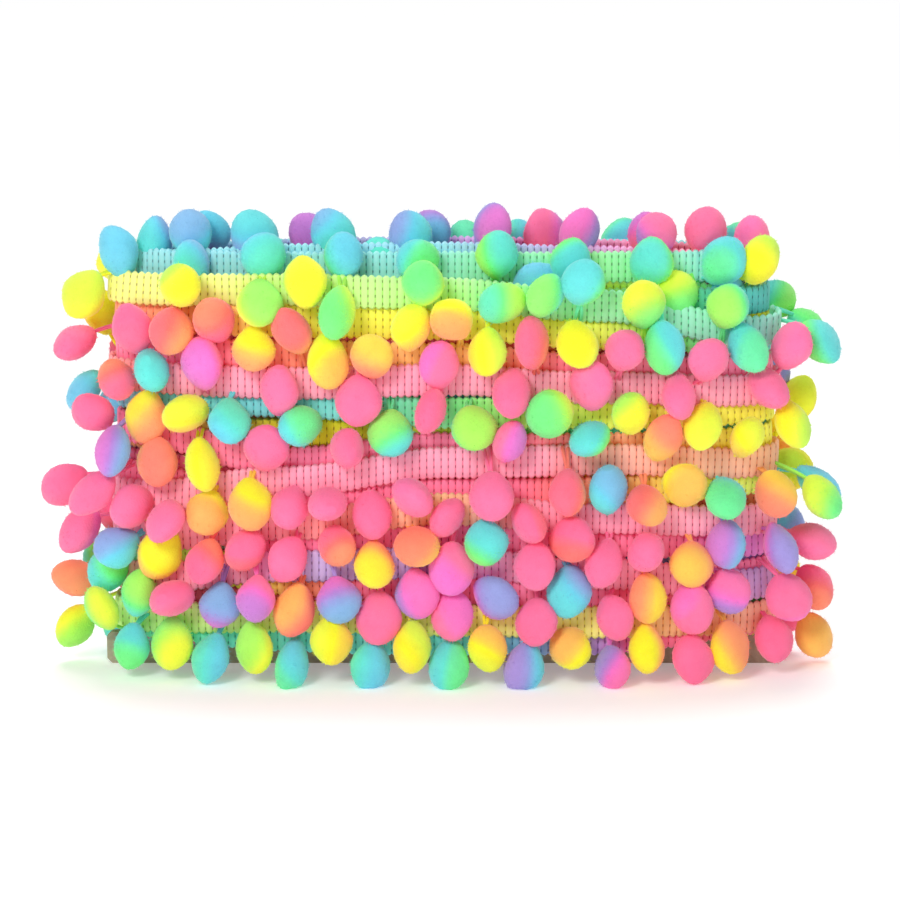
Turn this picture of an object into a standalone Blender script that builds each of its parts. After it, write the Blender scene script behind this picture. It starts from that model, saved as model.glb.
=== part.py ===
"""A length of pompom trim wound flat round a notched card, standing on its lower end.

The knitted tape runs round the card in overlapping turns. Its pompoms hang from it on short loops,
lie over the turns below, and stand up along the top. Metres, +Z up, the long side along X.
"""

import itertools
import math
from collections import namedtuple

import bmesh
import bpy
import numpy as np
from mathutils import Vector
from mathutils.bvhtree import BVHTree

MM = 0.001

# The card
CARD_THICK = 2.4 * MM
CARD_HEIGHT = 88 * MM
CARD_EAR_HALF = 78.5 * MM
CARD_WAIST_HALF = 69.5 * MM
CARD_EAR_RISE = 7.5 * MM
CARD_CORNER = 1.2 * MM

# The wound trim under the outer turns
CORE_HALF = (73.6 * MM, 14.2 * MM)
CORE_POWER = 2.4
CORE_SIDES = 40
CORE_BOTTOM = 6.5 * MM
CORE_TOP = 90 * MM
CORE_ROWS = 10
CORE_GROOVE = 1.1 * MM
CORE_EDGE = 3.2 * MM
CORE_SHELF = 7.0 * MM
CORE_CREST = 92.6 * MM

# The tape and its pompoms
TAPE_WIDTH = 7.5 * MM
TAPE_THICK = 1.0 * MM
TAPE_JOIN_GAP = 1.0 * MM
BEND_REACH = 34 * MM
BEND_START = 20 * MM
BEND_STOPS = 15
FRONT_STOPS = 6
BACK_STOPS = 4
POMPOM_PITCH = 17.5 * MM
POMPOM_HALF = (4.9 * MM, 3.8 * MM, 5.6 * MM)
POMPOM_ROOT = 0.62 * MM
POMPOM_REST = 0.78
BACK_PITCH = 26 * MM
BACK_START = 0.6
OUTER_LIFT = 1.5 * MM
GAP = 0.35 * MM
NECK_REACH = 1.2 * MM
END_FLARE = 4.6 * MM
ROOT_HEIGHTS = (-0.25, 0.1, -0.4, 0.4, -0.1, 0.25, -0.47, 0.47)
ROOT_SLIDES = (0.0, 3.5 * MM, -3.5 * MM)

# A pompom's lock: how far its corners stand outside the round form, where possible, and its rings
LOCK_SWELLS = (1.08, 1.0, 0.9, 0.8)
LOCK_SIDES = 4
LOCK_RINGS = (52, 97, 142)
LOCK_GAP = 0.9 * GAP
LOCK_NEAR = 30 * MM

# How the pompoms ease off one another
EASE_STEPS = 260
EASE_PULL_STEPS = 200
EASE_PULL = 0.02
EASE_PUSH = 0.32
EASE_ROOM = 2.02
EASE_FLAT = 0.86

# Where the tape's height is given along the front, from left to right
STATIONS = (-70 * MM, -35 * MM, 0.0, 35 * MM, 70 * MM)

# One row for each outer turn, from the top down, in millimetres: rise is the tape's height at the
# five stations and back its height at the middle of the back, lift is how far it lies outside the
# core, first is the x of its leftmost loop, hang is how far each pompom's middle lies under the
# tape's middle, and out is how far outside the core the pompoms' middles lie at least.
Turn = namedtuple("Turn", "name rise back lift first hang out colour")
TURNS = (
    Turn("crown_turn", (93.8, 95.8, 96.3, 95.3, 93.8), 95, -6.8, -59,
         (-5, -5, -5, -5, -5, -5, -5, -5), -8.0, (0.72, 0.55, 0.80)),
    Turn("shoulder_turn", (94.2, 94.2, 94.4, 94.2, 94.2), 94.2, -4.9, -58,
         (-3, -3, -4, -3, -4, -3, -3), -0.8, (0.10, 0.70, 0.72)),
    Turn("turn_03", (89.5, 90.3, 89.5, 86.5, 79.5), 86, 1.5, -73,
         (2, 0, 3, 4, 0, 0, -6, 5, 3), 7.0, (0.55, 0.80, 0.25)),
    Turn("turn_04", (83, 83, 82.5, 80.2, 78), 80.3, 0, -76,
         (8, 1, 4, 5, -1, 2, 2, -3, -6), 7.0, (0.93, 0.80, 0.12)),
    Turn("turn_05", (75, 75, 74.4, 72, 70), 72.1, 0, -66,
         (-6, -8, -5, -4, -7, -6, -6, -4, -6), 7.0, (0.95, 0.50, 0.20)),
    Turn("turn_06", (69.5, 69, 70, 68, 66.2), 66.8, 1.5, -70,
         (0, -6, 0, 4, -4, 1, -1, 1, 2), 7.0, (0.93, 0.16, 0.36)),
    Turn("turn_07", (65, 64.6, 62.2, 61.9, 62), 62, 0, -64,
         (-7, 5, 7, 3, 2, -1, 0, 2), 7.0, (0.70, 0.74, 0.76)),
    Turn("turn_08", (57, 50.5, 54, 53.7, 53.9), 53.8, 0, -72.5,
         (-5, -8, -6, -7, -7, -5, -8, -6, -6), 7.0, (0.94, 0.62, 0.34)),
    Turn("turn_09", (41.7, 46.5, 51, 51.5, 49.5), 49.8, 1.5, -77,
         (4, 8, 6, 7, 7, 6, 6, 8, 8), 8.0, (0.94, 0.18, 0.42)),
    Turn("turn_10", (45.7, 40.5, 43.5, 43.6, 45.2), 44.8, 0, -68,
         (8, 5, 1, 2, 7, 8, -2, -2, 2), 7.0, (0.93, 0.84, 0.40)),
    Turn("turn_11", (32.2, 36.5, 40.3, 37.8, 36), 39, 1.5, -76,
         (2, 5, 8, 8, 8, 6, 7, 9, 6), 7.0, (0.93, 0.20, 0.46)),
    Turn("turn_12", (37.7, 32.5, 33.8, 32, 30.7), 33.8, 0, -67,
         (7, 4, 2, 4, 2, 1, 3, 3, 2), 7.0, (0.80, 0.76, 0.25)),
    Turn("turn_13", (22.8, 26.8, 28, 25, 20.8), 28, 1.5, -74,
         (-2, 0, 5, 6, 5, 8, 1, 5, 1), 7.0, (0.80, 0.32, 0.50)),
    Turn("turn_14", (29.4, 23, 21.5, 18.4, 22.8), 22.4, 0, -66,
         (4, 4, 3, 4, 4, 5, 3, 4, 3), 7.0, (0.88, 0.30, 0.40)),
    Turn("turn_15", (13.4, 15, 14.3, 13.7, 12.9), 16.4, 1.5, -76,
         (3, 5, 5, 5, 6, 6, 7, 4, 4), 7.0, (0.94, 0.78, 0.28)),
    Turn("turn_16", (12, 10, 9.3, 9.4, 11.8), 9.6, 0, -67,
         (5, 4, 3, 3, 4, 3, 4, 4, 4), 7.0, (0.35, 0.72, 0.66)),
)


def clear_scene():
    for old in list(bpy.data.objects):
        bpy.data.objects.remove(old)


def collection(name, hidden=False):
    made = bpy.data.collections.new(name)
    made.hide_render = hidden
    bpy.context.scene.collection.children.link(made)
    return made


def material(name, colour, roughness):
    made = bpy.data.materials.new(name)
    made.use_nodes = True
    shader = made.node_tree.nodes["Principled BSDF"]
    shader.inputs["Base Color"].default_value = (*colour, 1.0)
    shader.inputs["Roughness"].default_value = roughness
    shader.inputs["Metallic"].default_value = 0.0
    return made


def section_point(angle, half, power):
    """A point of a rounded oblong, and its outward direction, at this angle."""
    c, s = math.cos(angle), math.sin(angle)
    x = half[0] * math.copysign(abs(c) ** (2 / power), c)
    y = half[1] * math.copysign(abs(s) ** (2 / power), s)
    nx = math.copysign(abs(x / half[0]) ** (power - 1), x) / half[0]
    ny = math.copysign(abs(y / half[1]) ** (power - 1), y) / half[1]
    return Vector((x, y)), Vector((nx, ny)).normalized()


class Course:
    """The way round the core, by length, from the middle of the back by the left to the front."""

    STEPS = 1440

    def __init__(self):
        angles = [math.pi / 2 + 2 * math.pi * k / self.STEPS for k in range(self.STEPS + 1)]
        found = [section_point(a, CORE_HALF, CORE_POWER) for a in angles]
        self.points = np.array([p for p, n in found])
        self.normals = np.array([n for p, n in found])
        pieces = np.linalg.norm(np.diff(self.points, axis=0), axis=1)
        self.along = np.concatenate([[0.0], np.cumsum(pieces)])
        self.length = float(self.along[-1])
        front = self.points[:, 1] <= 0
        self.front_x = self.points[front, 0]
        self.front_along = self.along[front]

    def at(self, along, out):
        """The point this far along and this far outside the core, and the outward direction."""
        x, y = (np.interp(along, self.along, self.points[:, k]) for k in (0, 1))
        nx, ny = (np.interp(along, self.along, self.normals[:, k]) for k in (0, 1))
        normal = Vector((nx, ny, 0)).normalized()
        if out < 0:
            inner = [1 + out / length for length in CORE_HALF]
            return Vector((x * inner[0], y * inner[1], 0)), normal
        return Vector((x, y, 0)) + normal * out, normal

    def along_at(self, x):
        """How far along the front's point over this x is."""
        return float(np.interp(x, self.front_x, self.front_along))


def tape_height(turn, course, along):
    """The tape's height here: its stations along the front, and an even slope round the back."""
    marks = [course.along_at(x) for x in STATIONS]
    heights = [value * MM for value in turn.rise]
    marks = [0.0, *marks, course.length]
    heights = [turn.back * MM, *heights, turn.back * MM]
    k = min(max(np.searchsorted(marks, along) - 1, 0), len(marks) - 2)
    t = (along - marks[k]) / (marks[k + 1] - marks[k])
    t = t * t * (3 - 2 * t)
    return heights[k] * (1 - t) + heights[k + 1] * t


def tape_out(turn):
    return turn.lift * MM + GAP + TAPE_THICK / 2


def pompom_rows(course):
    """Each pompom as (turn number, along, hang): the charted front ones, then those of the back."""
    rows = []
    for number, turn in enumerate(TURNS):
        front = [course.along_at(turn.first * MM) + k * POMPOM_PITCH for k in range(len(turn.hang))]
        rows += [(number, along, hang * MM) for along, hang in zip(front, turn.hang)]
        usual = sorted(turn.hang)[len(turn.hang) // 2] * MM
        left = front[0] - BACK_PITCH * BACK_START
        while left > TAPE_JOIN_GAP * 2:
            rows.append((number, left, usual))
            left -= BACK_PITCH
        right = front[-1] + BACK_PITCH * BACK_START
        while right < course.length - TAPE_JOIN_GAP * 2:
            rows.append((number, right, usual))
            right += BACK_PITCH
    return rows


def push_outside(places, out):
    """Moves the points that lie nearer the core than this out to that distance."""
    half = np.array(CORE_HALF)[None, :] + out[:, None]
    level = ((np.abs(places[:, :2]) / half) ** CORE_POWER).sum(axis=1)
    scale = np.where(level < 1, level ** (-1 / CORE_POWER), 1.0)
    places[:, :2] *= scale[:, None]


def settle(course, rows):
    """Pompom middles after each has been laid on the tape and eased off its neighbours."""
    half = np.array(POMPOM_HALF)
    wished, least = [], []
    for number, along, hang in rows:
        turn = TURNS[number]
        out = turn.out * MM + END_FLARE * abs(course.at(along, 0.0)[1].x) ** 3 * (turn.out > 0)
        spot, normal = course.at(along, out)
        height = max(tape_height(turn, course, along) - hang, half[2] * POMPOM_REST)
        wished.append((spot.x, spot.y, height))
        least.append(out)
    wished, least = np.array(wished), np.array(least)
    places = wished.copy()
    reach = np.array([half[0], half[0] * EASE_FLAT, half[2]]) * EASE_ROOM
    for step in range(EASE_STEPS):
        apart = (places[:, None, :] - places[None, :, :]) / reach
        far = np.linalg.norm(apart, axis=2)
        np.fill_diagonal(far, np.inf)
        press = np.clip(1 - far, 0, None) / np.maximum(far, 1e-6)
        places += EASE_PUSH * (apart * press[:, :, None]).sum(axis=1) * reach
        if step < EASE_PULL_STEPS:
            places += EASE_PULL * (wished - places)
        places[:, 2] = np.maximum(places[:, 2], half[2] * POMPOM_REST)
        push_outside(places, least)
    return places


def lock_mesh(root, middle, half, neck=None, grow=0.0):
    """A four-sided lock: a fine root on the tape, by a neck or straight, widening into one pompom."""
    size = np.array(half) + grow
    normal = Vector((middle.x / CORE_HALF[0] ** 2, middle.y / CORE_HALF[1] ** 2, 0)).normalized()
    side = Vector((-normal.y, normal.x, 0))
    frame = (side, normal, Vector((0, 0, 1)))
    start = neck or root
    to_root = Vector([(start - middle).dot(axis) / length for axis, length in zip(frame, size)])
    pole = to_root.normalized()
    first = pole.cross(Vector((0, 0, 1)) if abs(pole.z) < 0.9 else Vector((1, 0, 0))).normalized()
    second = pole.cross(first)
    made = bmesh.new()
    rings = []
    for turned, polar in enumerate(LOCK_RINGS):
        ring = []
        for corner in range(LOCK_SIDES):
            spin = math.radians(360 / LOCK_SIDES * (corner + turned / 2))
            unit = pole * math.cos(math.radians(polar))
            unit += (first * math.cos(spin) + second * math.sin(spin)) * math.sin(math.radians(polar))
            point = middle + sum((axis * (part * length) for axis, part, length
                                  in zip(frame, unit, size)), Vector())
            point.z = max(point.z, 0.0)
            ring.append(made.verts.new(point))
        rings.append(ring)
    back = (root - start).normalized() if neck else (root - middle).normalized()
    across = (rings[0][0].co - rings[0][2].co).normalized()
    across = (across - back * across.dot(back)).normalized()
    other = back.cross(across)
    if other.dot(rings[0][1].co - rings[0][3].co) < 0:
        other = -other
    width = POMPOM_ROOT + grow
    corners = (across, other, -across, -other)
    for place in ((neck, root) if neck else (root,)):
        rings.insert(0, [made.verts.new(place + corner * width) for corner in corners])
    for lower, upper in zip(rings, rings[1:]):
        for k in range(LOCK_SIDES):
            n = (k + 1) % LOCK_SIDES
            made.faces.new((lower[k], lower[n], upper[n], upper[k]))
    made.faces.new(rings[0][::-1])
    made.faces.new(rings[-1])
    bmesh.ops.recalc_face_normals(made, faces=made.faces)
    bmesh.ops.triangulate(made, faces=made.faces, quad_method="SHORT_EDGE")
    return made


def tape_stops(course):
    """The places along a turn where its ribbon bends, closer together round the two narrow ends."""
    ends = (TAPE_JOIN_GAP / 2, course.length - TAPE_JOIN_GAP / 2)
    left, right = course.along_at(STATIONS[0]), course.along_at(STATIONS[-1])
    pieces = (np.linspace(ends[0], left - BEND_REACH, BACK_STOPS),
              np.linspace(left - BEND_REACH, left + BEND_START, BEND_STOPS),
              np.linspace(left + BEND_START, right - BEND_START, FRONT_STOPS),
              np.linspace(right - BEND_START, right + BEND_REACH, BEND_STOPS),
              np.linspace(right + BEND_REACH, ends[1], BACK_STOPS))
    return np.unique(np.round(np.concatenate(pieces), 5))


def tape_line(turn, course):
    """The ribbon's middle line as points, one for each stop."""
    found = []
    for along in tape_stops(course):
        spot, normal = course.at(along, tape_out(turn))
        found.append((spot.x, spot.y, tape_height(turn, course, along)))
    return np.array(found)


def tape_spot(turn, course, along):
    """The point of the ribbon's middle line this far along."""
    stops, line = tape_stops(course), tape_line(turn, course)
    return Vector([np.interp(along, stops, line[:, k]) for k in range(3)])


def tape_object(turn, course, guides):
    """The tape as a flat ribbon curve, given its thickness and made a mesh."""
    data = bpy.data.curves.new(turn.name + "_ribbon", "CURVE")
    data.dimensions = "3D"
    data.twist_mode = "Z_UP"
    data.extrude = TAPE_WIDTH / 2
    line = data.splines.new("POLY")
    spots = tape_line(turn, course)
    line.points.add(len(spots) - 1)
    for point, spot in zip(line.points, spots):
        point.co = (*spot, 1.0)
    ribbon = bpy.data.objects.new(turn.name + "_ribbon", data)
    guides.objects.link(ribbon)
    bpy.context.view_layer.update()
    graph = bpy.context.evaluated_depsgraph_get()
    mesh = bpy.data.meshes.new_from_object(ribbon.evaluated_get(graph))
    bpy.data.objects.remove(ribbon)
    work = bmesh.new()
    work.from_mesh(mesh)
    bmesh.ops.remove_doubles(work, verts=work.verts, dist=1e-6)
    work.to_mesh(mesh)
    work.free()
    mesh.name = turn.name
    made = bpy.data.objects.new(turn.name, mesh)
    thick = made.modifiers.new("tape thickness", "SOLIDIFY")
    thick.thickness = TAPE_THICK
    thick.offset = 0.0
    thick.use_even_offset = True
    return made


def core_object(course):
    """The wound turns under the outer ones: a rounded oblong with a groove between its rows."""
    profile = [(CORE_BOTTOM, -CORE_EDGE)]
    row = (CORE_TOP - CORE_BOTTOM) / CORE_ROWS
    for k in range(CORE_ROWS):
        low = CORE_BOTTOM + row * k
        profile.append((low + row / 2, 0.0))
        if k < CORE_ROWS - 1:
            profile.append((low + row, -CORE_GROOVE))
    profile += [(CORE_TOP, -CORE_EDGE), (CORE_TOP, -CORE_SHELF), (CORE_CREST, -CORE_SHELF)]
    work = bmesh.new()
    loop = []
    for z, out in profile:
        ring = []
        for k in range(CORE_SIDES):
            spot, normal = course.at(course.length * k / CORE_SIDES, out)
            ring.append(work.verts.new((spot.x, spot.y, z)))
        if loop:
            for k in range(CORE_SIDES):
                n = (k + 1) % CORE_SIDES
                work.faces.new((loop[k], loop[n], ring[n], ring[k]))
        else:
            work.faces.new(ring[::-1])
        loop = ring
    work.faces.new(loop)
    bmesh.ops.recalc_face_normals(work, faces=work.faces)
    mesh = bpy.data.meshes.new("wound_core")
    work.to_mesh(mesh)
    work.free()
    return bpy.data.objects.new("wound_core", mesh)


def card_outline(spline_data, grow):
    """The card's outline: wide ears along its foot, narrower where the trim is wound."""
    ear, waist = CARD_EAR_HALF + grow, CARD_WAIST_HALF + grow
    foot, rise, top = -grow, CARD_EAR_RISE + grow, CARD_HEIGHT + grow
    cut = CARD_CORNER
    half = [(ear - cut, foot), (ear, foot + cut), (ear, rise - cut), (ear - cut, rise),
            (waist, rise), (waist, top - cut), (waist - cut, top)]
    outline = half + [(-x, z) for x, z in reversed(half)]
    line = spline_data.splines.new("POLY")
    line.points.add(len(outline) - 1)
    for point, (x, z) in zip(line.points, outline):
        point.co = (x, z, 0.0, 1.0)
    line.use_cyclic_u = True


def card_object(name, grow, target):
    data = bpy.data.curves.new(name, "CURVE")
    data.dimensions = "2D"
    data.fill_mode = "BOTH"
    data.extrude = CARD_THICK / 2 + grow
    card_outline(data, grow)
    flat = bpy.data.objects.new(name + "_outline", data)
    flat.rotation_euler = (math.pi / 2, 0, 0)
    target.objects.link(flat)
    bpy.context.view_layer.update()
    graph = bpy.context.evaluated_depsgraph_get()
    mesh = bpy.data.meshes.new_from_object(flat.evaluated_get(graph))
    mesh.transform(flat.matrix_world)
    bpy.data.objects.remove(flat)
    work = bmesh.new()
    work.from_mesh(mesh)
    bmesh.ops.remove_doubles(work, verts=work.verts, dist=1e-6)
    bmesh.ops.recalc_face_normals(work, faces=work.faces)
    work.to_mesh(mesh)
    work.free()
    made = bpy.data.objects.new(name, mesh)
    target.objects.link(made)
    return made


def boolean(target, other, operation):
    cut = target.modifiers.new(operation.lower(), "BOOLEAN")
    cut.operation = operation
    cut.object = other


def tree_of(made):
    graph = bpy.context.evaluated_depsgraph_get()
    return BVHTree.FromObject(made, graph)


def place_locks(course, tapes, fixed):
    """The locks of each turn, shrinking or leaving out one that would touch another piece."""
    rows = pompom_rows(course)
    middles = settle(course, rows)
    trees = [tree_of(tape) for tape in tapes]
    laid = []
    locks = [[] for turn in TURNS]
    for (number, along, hang), spot in zip(rows, middles):
        turn = TURNS[number]
        middle = Vector(spot)
        others = [tree for k, tree in enumerate(trees) if k != number] + fixed
        near = [tree for centre, tree in laid if (centre - middle).length < LOCK_NEAR]
        choices = itertools.product(LOCK_SWELLS, (False, True), ROOT_HEIGHTS, ROOT_SLIDES)
        for swell, necked, low, slide in choices:
            if necked and turn.lift < 0:
                continue
            low = low if hang > 0 else -low
            half = [length * swell for length in POMPOM_HALF]
            normal = course.at(along + slide, 0.0)[1]
            root = tape_spot(turn, course, along + slide) + Vector((0, 0, low * TAPE_WIDTH))
            neck = root + normal * (OUTER_LIFT + NECK_REACH - turn.lift * MM) if necked else None
            test = BVHTree.FromBMesh(lock_mesh(root, middle, half, neck, LOCK_GAP))
            if any(test.overlap(tree) for tree in others + near):
                continue
            lock = lock_mesh(root, middle, half, neck)
            laid.append((middle, BVHTree.FromBMesh(lock)))
            locks[number].append(lock)
            break
    return locks


def build():
    clear_scene()
    parts = collection("pompom_trim_roll")
    cutters = collection("cutters", hidden=True)
    course = Course()

    card = card_object("card", 0.0, parts)
    card.data.materials.append(material("greyboard", (0.42, 0.37, 0.30), 0.85))
    slot = card_object("card_slot", GAP, cutters)
    slot.display_type = "WIRE"
    slot.hide_render = True

    core = core_object(course)
    parts.objects.link(core)
    core.data.materials.append(material("wound_tape", (0.80, 0.45, 0.50), 0.9))
    boolean(core, slot, "DIFFERENCE")

    tapes = []
    for turn in TURNS:
        tape = tape_object(turn, course, cutters)
        parts.objects.link(tape)
        tape.data.materials.append(material(turn.name + "_yarn", turn.colour, 0.9))
        tapes.append(tape)
    bpy.context.view_layer.update()

    locks = place_locks(course, tapes, [tree_of(core), tree_of(card)])
    for tape, own in zip(tapes, locks):
        joined = bmesh.new()
        mesh = bpy.data.meshes.new(tape.name + "_pompoms")
        for lock in own:
            lock.to_mesh(mesh)
            joined.from_mesh(mesh)
            lock.free()
        joined.to_mesh(mesh)
        joined.free()
        cluster = bpy.data.objects.new(tape.name + "_pompoms", mesh)
        cluster.display_type = "WIRE"
        cluster.hide_render = True
        cutters.objects.link(cluster)
        boolean(tape, cluster, "UNION")
    centre_over_origin(parts, cutters)


def centre_over_origin(parts, cutters):
    """Moves the roll so that its box stands on the origin's level with its middle over it."""
    bpy.context.view_layer.update()
    graph = bpy.context.evaluated_depsgraph_get()
    corners = []
    for made in parts.objects:
        corners += [Vector(corner) for corner in made.evaluated_get(graph).bound_box]
    middle = [(min(c[k] for c in corners) + max(c[k] for c in corners)) / 2 for k in range(2)]
    for made in (*parts.objects, *cutters.objects):
        made.location -= Vector((*middle, 0.0))


if __name__ == "__main__":
    build()
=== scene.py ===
import math
from collections import namedtuple
from functools import partial

import bpy
import numpy as np
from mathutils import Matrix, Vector


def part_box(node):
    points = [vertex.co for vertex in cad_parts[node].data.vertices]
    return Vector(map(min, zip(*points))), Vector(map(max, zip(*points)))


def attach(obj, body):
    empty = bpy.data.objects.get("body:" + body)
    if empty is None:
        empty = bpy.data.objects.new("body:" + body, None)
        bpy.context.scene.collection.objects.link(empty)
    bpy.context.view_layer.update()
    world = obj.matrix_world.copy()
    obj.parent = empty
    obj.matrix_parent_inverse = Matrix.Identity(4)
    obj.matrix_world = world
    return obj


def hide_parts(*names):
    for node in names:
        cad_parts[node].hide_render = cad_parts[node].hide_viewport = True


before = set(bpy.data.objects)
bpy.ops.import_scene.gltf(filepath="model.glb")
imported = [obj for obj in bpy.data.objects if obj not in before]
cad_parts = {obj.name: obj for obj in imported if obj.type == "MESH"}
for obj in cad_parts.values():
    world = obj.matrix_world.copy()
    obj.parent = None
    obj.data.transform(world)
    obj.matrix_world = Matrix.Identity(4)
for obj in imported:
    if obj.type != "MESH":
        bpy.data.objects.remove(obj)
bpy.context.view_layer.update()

bl_info = {
    "name": "Pompom trim roll",
    "version": (1, 0, 0),
    "blender": (4, 5, 0),
    "location": "View3D > Sidebar > Pompom trim",
    "description": "Dresses a roll of pompom trim wound flat round a card",
    "category": "Object",
}

MM = 0.001
CARD_LOW, CARD_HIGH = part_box("card")

# The roll's middle, which the card marks
ROLL_MIDDLE = np.array([(CARD_LOW.x + CARD_HIGH.x) / 2, (CARD_LOW.y + CARD_HIGH.y) / 2, 0.0])

# The wound form
CORE_HALF = (73.6 * MM, 14.2 * MM)
CORE_POWER = 2.4
CORE_BOTTOM = 6.5 * MM
CORE_TOP = 90 * MM

# The tape and its pompoms
TAPE_WIDTH = 7.5 * MM
TAPE_THICK = 1.0 * MM
POMPOM_PITCH = 17.5 * MM
POMPOM_HALF = (4.9 * MM, 3.8 * MM, 5.6 * MM)
BACK_PITCH = 26 * MM
BACK_START = 0.6
BACK_CLEAR = 2.0 * MM
POMPOM_REST = 0.78

# How the pompoms ease off one another
EASE_STEPS = 260
EASE_PULL_STEPS = 200
EASE_PULL = 0.02
EASE_PUSH = 0.32
EASE_ROOM = 2.02
EASE_FLAT = 0.86
END_FLARE = 4.6 * MM
GAP = 0.35 * MM

# Where the inner turns' pompoms may lie: how far in, how much room each needs, how far it may ease
# away from its wished place, and how they hang against the usual pompom of their turn
PEEP_OUT = 7 * MM
PEEP_IN = 0.8 * MM
PEEP_ROOM = 0.84
PEEP_SHIFT = 6.5 * MM
PEEP_SPAN = (0.2, 0.8)
PEEP_STEPS = 600
PEEP_DEPTH = 0.05
END_STEP = 6.5 * MM
END_HANG = 0.5
WIDE_GAP = 1.3
WIDE_HANG = 0.6

# How a pompom hangs: clear of the floor, a little off its place, on a loop that starts near an edge
# of the tape. The loop is folded over the tape where the pompom's middle is this near the tape's.
FLOOR_CLEAR = 0.05 * MM
JITTER = 0.9 * MM
FOLD_HANG = 6.5 * MM
ROOT_EDGE = 0.42

# How flat the loop's direction lies against the tape, and how uneven and how drawn to its edge it is
POLE_FLAT = 0.45
POLE_JITTER = 0.9 * MM
POLE_LIFT = 1.5 * MM

# A pompom's own form: turned on its loop, tapered, lumpy and drawn out at the loop
POMPOM_SEGMENTS = 16
POMPOM_RINGS = 10
POMPOM_SPIN = 0.5
POMPOM_SIZES = (0.88, 1.08)
TAPERS = (0.06, 0.26)
FOOT_TAPERS = (0.0, 0.10)
LUMP_HEIGHT = 0.02
LUMP_COUNT = 5
LUMP_WAVE = 1.8
TOP_DRAWN = 0.05
FOOT_FLAT = 0.03

# The two tones of a pompom, and the fibre ends
TONE_STEP = 0.055
TONE_EDGE = 2.6
HAIR_HALF = 0.055 * MM
HAIR_ROOT = 0.97
HAIR_LEAN = 0.55
HAIR_REACH = (0.5, 1.15)

# The two threads of a loop
THREAD_POINTS = 7
THREAD_SIDES = 6
THREAD_END = 0.8
THREAD_APART = (0.5, 0.8)
THREAD_SPREAD = (0.1, 0.7)
THREAD_BOW = 0.15

# How far along the run of colours a pompom may be off its tape, how often, and at what heights
DYE_SPREAD = 0.022
DYE_SHIFTS = (0.0, 0.36, -0.2)
DYE_ODDS = (0.76, 0.14, 0.10)
MIXED_LOW = 17 * MM
MIXED_HIGH = 86 * MM

# Where along the front the tape's height and its dye are charted
STATIONS = (-70 * MM, -35 * MM, 0.0, 35 * MM, 70 * MM)

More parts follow.
